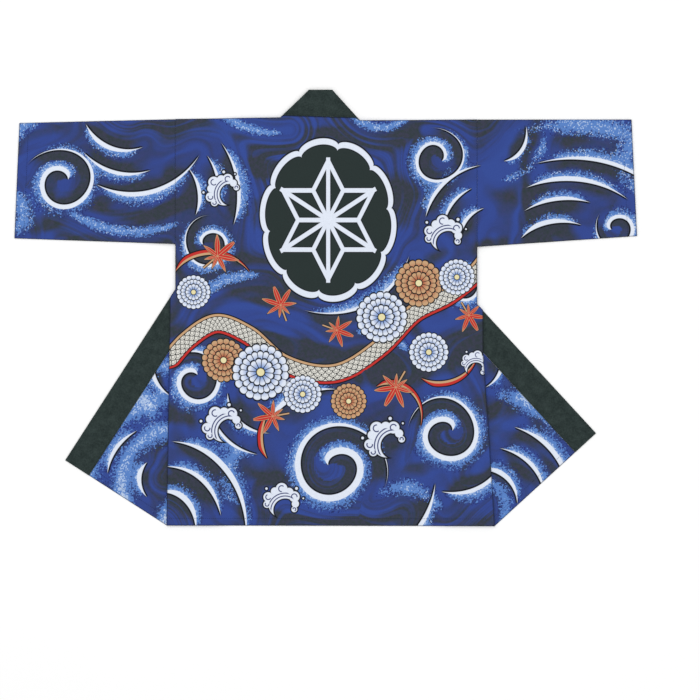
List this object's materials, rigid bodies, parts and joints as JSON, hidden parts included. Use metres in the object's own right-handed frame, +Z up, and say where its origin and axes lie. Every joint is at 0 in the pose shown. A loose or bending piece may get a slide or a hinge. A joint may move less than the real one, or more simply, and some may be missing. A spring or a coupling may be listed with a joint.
{
  "type": "happi coat",
  "caption": "Short straight-cut cotton jacket with tube sleeves and a band collar, laid flat with its back up and both fronts turned out under it.",
  "frame": {"origin": "on the surface that the coat lies on, under the middle of its bounding box", "axes": "+Z up from the surface, +Y towards the neck, +X towards the wearer's right sleeve, which is on the right seen from above because the back is up"},
  "size_m": [1.2444, 0.8724, 0.0066],
  "materials": {
    "printed_cotton": "matt plain-woven cotton, royal blue with a white, navy and light blue print",
    "collar_cotton": "matt plain-woven cotton, dark green-grey"
  },
  "bodies": {
    "root": {"back_panel": "printed_cotton", "front_left": "printed_cotton", "front_right": "printed_cotton", "sleeve_left": "printed_cotton", "sleeve_right": "printed_cotton", "collar_neck": "collar_cotton", "collar_left": "collar_cotton", "collar_right": "collar_cotton"}
  },
  "joints": []
}
